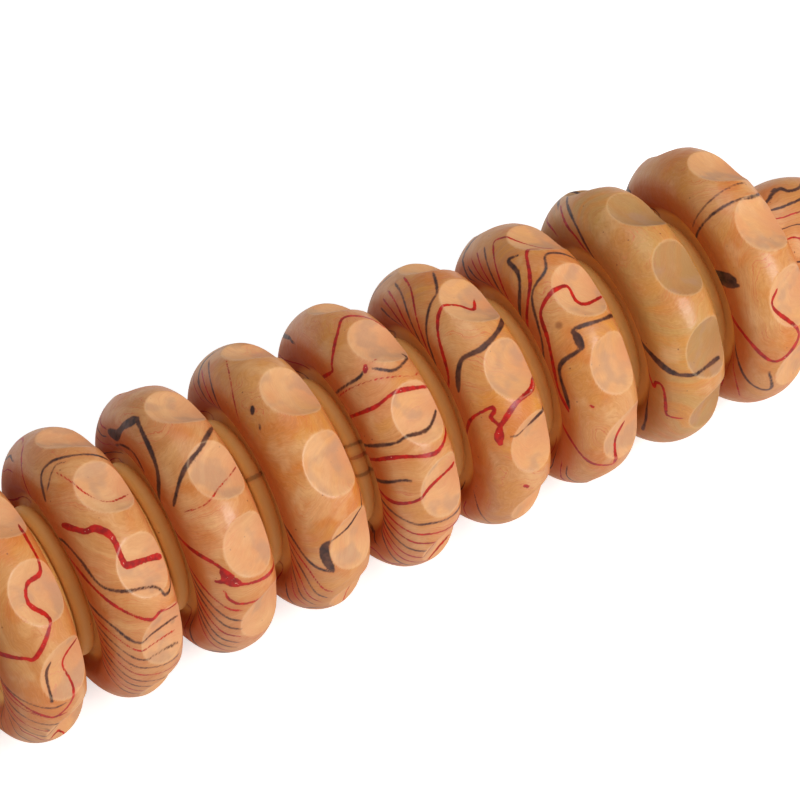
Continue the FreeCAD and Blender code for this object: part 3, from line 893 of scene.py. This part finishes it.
WHEEL_LINES = (
    # wheel_1
    (red(0.9, (94, 7), (103, 6.3), (118.7, 6), (122, 1.9), (129.5, 0.6), (137, 2.8), (141, 2.2), (150, -2.2),
       (149, -4.5), (143, -12)),
     red(0.6, (155, 9), (161, 3.2), (174.5, 3.5), (182.5, -1), (179, -4.3), (164, -12)),
     dark(0.8, (156, 0.3), (160, -1.1), (173, -1.6)),
     *fan(BOTH, 0.4, 5, ((158, -13), (167, -9.5), (176, -2.5), (177, 1)), ((180, -14), (192, -9), (200, -3),
       (202, 1)))),
    # wheel_2
    (red(1.3, (104, -8.5), (112, -5.2), (113.5, -2.9), (119, -1), (127.5, -0.8), (132, -0.2), (133.5, 3.2),
       (136, 9)),
     dark(0.65, (88, -9), (78, -6.5), (76.5, -3.5), (80, 1.5), (83, 9)),
     dark(0.35, (86, -7.3), (80, -3.2), (81, -1.2)),
     red(0.45, (75, -13), (66, -10.5), (50, -4)),
     red(0.4, (83, -3.7), (97, -1.2), (104.5, 2.3), (103, 8)),
     dark(0.6, (104, -14), (109, -11), (121, -8.8), (137, -6), (145, 3), (150, 4.8), (150, 7), (146, 9.5)),
     red(0.65, (108, -14), (133, -9), (146.5, -5), (156, 0), (155, 2.7), (159, 6), (160, 9)),
     dark(0.6, (140, -14), (153.5, -7.8), (164, -3.7), (165.5, 0.6), (170, 8.5)),
     *fan((red, dark, dark), 0.4, 8, ((146, -14), (159, -8), (168, -4), (171, 0), (175, 6)), ((180, -15),
       (194, -10), (203, -6), (207, -1), (210, 4)))),
    # wheel_3
    (dark(2.0, (48, -10.5), (60, -10.2), (66, -7.4), (72, -5)),
     dark(1.0, (72, -4.9), (78, -5.6), (100, -8), (111, -13)),
     dark(0.5, (50, -13.5), (66, -11.5), (80, -10.5), (92, -11.5)),
     dark(0.9, (90, 8.5), (100, 2.6), (107.5, -3.6), (117, -8.5)),
     red(0.35, (112, 9), (118.7, 1.9), (123, -2.6), (122, -7)),
     red(0.8, (124, -14), (138, -9.3), (147, -5.2), (154, -2.9), (159, -1.8), (163, 5.8), (163, 9.5)),
     red(2.3, (151.5, -4.2), (155.5, -3.6), (158.5, -2)),
     red(1.2, (155.5, -6), (156.5, -4)),
     red(0.6, (160.5, -4.9), (166, -4), (169.5, -1), (172, 9)),
     *fan((red, dark, dark), 0.5, 7, ((140, -14), (158, -9.5), (169.5, -5.2), (172.5, -2.3)), ((170, -15),
       (188, -12), (203, -8), (209, -3)))),
    # wheel_4
    (dark(0.7, (147, 9), (155, 6.2), (160, 2.5), (159, -2.3)),
     dark(1.7, (159.5, -3), (162, -4), (168, -4), (175, -3)),
     dark(0.6, (176, -3), (170, -7.2), (152, -12), (146, -16)),
     *fan((red, dark), 0.45, 5, ((150, -15), (172, -8.5), (186, -5.2), (190, -3)), ((165, -16), (188, -13),
       (206, -10), (212, -6))),
     *fan(BOTH, 0.5, 3, ((46, -4.4), (58, -8.2), (72, -13)), ((40, -8.5), (47, -11), (56, -14))),
     red(0.3, (60, -3), (72, -5.4), (92, -10.4)),
     dark(1.3, (92.4, -5.7), (94.4, -6.2)),
     dark(0.7, (101, -6.4), (102.6, -6.7)),
     dark(1.0, (117, -18.5), (118.5, -21), (118, -24))),
    # wheel_5
    (red(0.7, (78, 8), (72, 3.2), (70.5, 0), (77, -3.1), (86, -7.9), (88, -9.3), (78, -14)),
     dark(0.65, (96, 7.2), (100.5, 6.9), (105.5, 1.9), (101, -1.8)),
     dark(0.65, (100, -3.6), (101, -5), (99.5, -8.1), (96, -12)),
     red(1.3, (98.5, -2.7), (100.5, -3.3)),
     red(0.45, (98.5, -1.2), (97, 0.3)),
     red(0.3, (99, -12), (105, -3.5), (110, 4.5), (108.5, 8)),
     red(0.8, (107, -16), (112, -12), (115.5, -5.3), (114, 0), (116, 9)),
     dark(0.7, (126, -24), (128.5, -14), (132.5, -5), (132, -1.9), (133.5, 3.3), (128, 8.5)),
     red(0.85, (136, -23), (137.5, -12), (138.5, -5.4), (142.5, 0.7), (142.5, 4), (137, 9.5)),
     dark(0.75, (150, -24), (150, -12), (149.2, -6), (150.3, -4)),
     red(0.85, (152, -15), (160, -9.8), (160.5, -5.3), (157.8, 0), (158, 6.5), (157, 9)),
     *fan((dark, red, red), 0.55, 7, ((157, -16), (163, -12.5), (172, -5.5), (173.5, -1.6), (176, 3.2),
       (178, 8)), ((184, -16), (196, -12), (207, -8), (212, -4), (213, 1), (214, 6)))),
    # wheel_6
    (dark(0.6, (66, 1), (79, -1.7), (83, -4.8), (92, -9.4), (108, -13)),
     red(0.75, (84, 5.5), (91, 3.2), (87.5, 0.6), (88, -3.6), (97, -7.1), (114, -10), (120, -12.5)),
     dark(1.1, (101, 9), (108.5, 3.7), (112.5, -1.2), (112.5, -5.5), (118, -8), (124, -9.5)),
     red(0.75, (149, -13), (139, -9.3), (136, -4.4), (138, -4), (140, -5), (144.5, -4), (147.5, -4.3)),
     red(1.1, (133, 9), (136.5, 6), (138, 1), (141, -1.5), (144.8, -3.7), (147.5, -4.4)),
     red(2.1, (146.5, -4.2), (150, -4.7), (152.5, -4.7)),
     dark(1.1, (148.5, 9), (150, 5), (151, 2.4)),
     dark(0.45, (151, 2), (151.8, -0.5), (150.5, -2.5)),
     red(1.1, (177, -1.3), (178.5, -0.5)),
     *fan((red, dark, red), 0.5, 5, ((56, -3.4), (68, -5), (83, -9), (103, -13.5)), ((42, -10.5), (52, -12.2),
       (62, -13.5), (72, -14.5))),
     dark(0.4, (192, -12), (205, -9), (216, -5))),
    # wheel_7
    (red(0.6, (60, -4.6), (60, -3.3), (69, 0.4), (76, 3.5), (77, 7)),
     *fan((red, dark, red), 0.5, 5, ((60, -4.6), (70, -8), (83, -11.5), (96, -14)), ((40, -10), (46, -12),
       (52, -13.5), (58, -14.5))),
     dark(0.9, (78, -3.6), (76, -5.6), (85, -6), (92, -8.2), (100, -13)),
     red(0.8, (77.5, 1.5), (79.5, -1.8), (89, -4.2), (95.5, -6.3), (108, -13)),
     dark(0.6, (90, 8), (86, 2.5), (86.5, 0.3), (93, -1.6), (99, -6.8), (119, -10.3), (128, -13)),
     red(0.85, (111, 9), (112.5, 3), (109.5, 1.2), (101.5, 0.8), (106.5, -6.6), (120, -8.6), (144, -11.3),
       (158, -9.8)),
     dark(0.8, (122, 9), (122, 3), (120.7, -3)),
     dark(1.7, (121.5, -3.2), (124, -2.9), (129, -2.9)),
     dark(0.9, (129.5, -2.9), (132, -7.7), (138.5, -9.4), (156, -9.5)),
     red(0.7, (164, -16), (173, -11.5), (188, -6), (193, -0.5)),
     red(1.0, (192, -0.3), (181, 0.6), (176, 3.5)),
     red(0.8, (154.5, -4.8), (155.4, -4.3))),
    # wheel_8
    (red(0.7, (42, -5.5), (55, -9.5), (66, -11.2), (78, -13.5)),
     dark(0.7, (42, -3), (51, -5.8), (71, -10.3), (84, -13)),
     dark(1.3, (140, -14), (146, -11.4), (156, -7.6), (160, -5)),
     dark(0.8, (159.5, -5.4), (161.5, -1.3), (163, 6)),
     red(0.7, (158, -13.5), (166, -12.2), (170, -11.2), (166, -10.4), (168, -8.8), (184, -8), (186.5, -7),
       (186.5, -4.5)),
     dark(0.8, (158, -14.5), (176, -14.5), (205, -11.3), (217, -10))),
    # wheel_9
    (dark(0.6, (97, 8.5), (100, 4.5), (99.5, -5.8), (100, -14)),
     dark(0.35, (92, 5), (94, -6), (95, -11)),
     dark(2.8, (124, -15), (128, -11.5), (131, -8.5)),
     dark(1.6, (130, -12), (133, -9), (134, -8)),
     red(0.85, (142, -0.2), (148, -2.4), (162, 1.8), (169, 1.2), (175, -4), (159, -10.2), (144, -15)),
     dark(0.7, (156, -16), (186, -10.5), (196, -5.8), (195.5, -3), (182, -4.5)),
     *fan((red,), 0.4, 2, ((176, -15), (190, -12.6), (212, -7.4)), ((184, -16), (200, -14.4), (220, -11)))),
)
HANDLE_STYLES = dict(
    left=dict(tilt=84, turn=20, seed=21, woods=COMMON,
              reds=((11.5, 0.4), (6, 0.5), (-2, 0.5), (-9, 0.5)),
              darks=((9, 0.5), (2, 0.4), (-6, 0.4), (-12, 0.5))),
    right=dict(tilt=86, turn=38, seed=25, woods=COMMON,
               reds=((7, 0.5), (-1, 0.5), (-9, 0.5), (-12.5, 0.4)),
               darks=((10, 0.5), (3, 0.4), (-5, 0.4), (12.5, 0.4))))
PLUG_STYLE = dict(seed=23, woods=COMMON, reds=((1.5, 0.4),), darks=((-2.5, 0.4),))


def finish_node(node, material):
    """Gives a CAD node's own shape a material."""
    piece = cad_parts[node]
    piece.data.materials.clear()
    piece.data.materials.append(material)


for node, style, lines in zip(WHEELS, WHEEL_STYLES, WHEEL_LINES):
    make_wheel(node, style, lines)
for side in SIDES:
    make_handle(side, HANDLE_STYLES[side])
for side in SIDES:
    finish_node(side + "_end_plug", laminated_wood(side + "_plug_wood", PLUG_STYLE, flat=True))
    for part in ("thrust_washer", "nut_washer", "nut"):
        node = side + "_" + part
        finish_node(node, turned_steel(node + "_steel", STEEL, rough=0.30))
finish_node("axle_rod", turned_steel("axle_rod_steel", ROD_STEEL, rough=0.28))


# ---- camera, floor and light ----
VIEW_AZIMUTH = -30.66  # degrees the camera stands round from -Y, towards -X when below zero
VIEW_ELEVATION = 50.7
VIEW_DISTANCE = 706.7  # millimetres along the view to the middle of the roller
VIEW_RIGHT = 6.31  # how far the camera stands to the right of the roller's middle
VIEW_UP = 6.82
LENS = 162.0
SENSOR = 36.0
LIGHT_DISTANCE = 1.4  # metres
WORLD_LIGHT = 0.29
FLOOR_SIZE = 60.0  # metres, so that its edge is far away
FLOOR_GLOW = 0.6  # the floor's extra brightness, for the camera only
FLOOR_SHADES = ((252, 252, 252), (246, 246, 246))
FLOOR_MOTTLE = 0.02


def make_camera():
    azimuth, elevation = math.radians(VIEW_AZIMUTH), math.radians(VIEW_ELEVATION)
    right = Vector((math.cos(azimuth), math.sin(azimuth), 0))
    level = Vector((-math.sin(azimuth), math.cos(azimuth), 0))
    forward = level * math.cos(elevation) - Vector((0, 0, math.sin(elevation)))
    up = right.cross(forward)
    data = bpy.data.cameras.new("camera")
    data.sensor_width = SENSOR
    data.lens = LENS
    camera = bpy.data.objects.new("camera", data)
    place = (right * VIEW_RIGHT + up * VIEW_UP - forward * VIEW_DISTANCE) * MM
    turn = Matrix((right, up, -forward)).transposed()
    camera.matrix_world = Matrix.Translation(place) @ turn.to_4x4()
    bpy.context.scene.collection.objects.link(camera)
    bpy.context.scene.camera = camera


def make_light(name, direction, size, power):
    """A square softbox that faces the roller's middle from a direction."""
    data = bpy.data.lights.new(name, "AREA")
    data.shape = "SQUARE"
    data.size = size
    data.energy = power
    light = bpy.data.objects.new(name, data)
    away = Vector(direction).normalized()
    turn = away.to_track_quat("Z", "Y").to_matrix().to_4x4()
    light.matrix_world = Matrix.Translation(away * LIGHT_DISTANCE) @ turn
    bpy.context.scene.collection.objects.link(light)


def make_floor():
    bpy.ops.mesh.primitive_plane_add(size=FLOOR_SIZE, location=(0, 0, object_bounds()[0][2]))
    floor = bpy.context.object
    floor.name = "floor"
    sheet = Sheet("floor_white")
    shown = sheet.mix(sheet.noise(sheet.place(), FLOOR_MOTTLE), *[colour(*shade) for shade in FLOOR_SHADES])
    to_camera = sheet.output("LightPath")
    sheet.shade(Base_Color=shown, Roughness=0.9, Emission_Color=shown,
                Emission_Strength=to_camera * FLOOR_GLOW)
    floor.data.materials.append(sheet.material)


def make_world():
    """A white surround: full white to the camera, dimmer as light."""
    world = bpy.data.worlds.new("world")
    bpy.context.scene.world = world
    world.use_nodes = True
    nodes, links = world.node_tree.nodes, world.node_tree.links
    background = nodes["Background"]
    background.inputs["Color"].default_value = (1, 1, 1, 1)
    light_path = nodes.new("ShaderNodeLightPath")
    strength = nodes.new("ShaderNodeMapRange")
    strength.inputs["To Min"].default_value = WORLD_LIGHT
    links.new(light_path.outputs["Is Camera Ray"], strength.inputs["Value"])
    links.new(strength.outputs[0], background.inputs["Strength"])


make_camera()
make_floor()
make_light("key", direction=(0.42, -0.70, 0.56), size=0.6, power=13.2)
make_light("top", direction=(0.1, 0.25, 1.0), size=1.0, power=5.8)
make_world()
bpy.context.scene.view_settings.view_transform = "Standard"
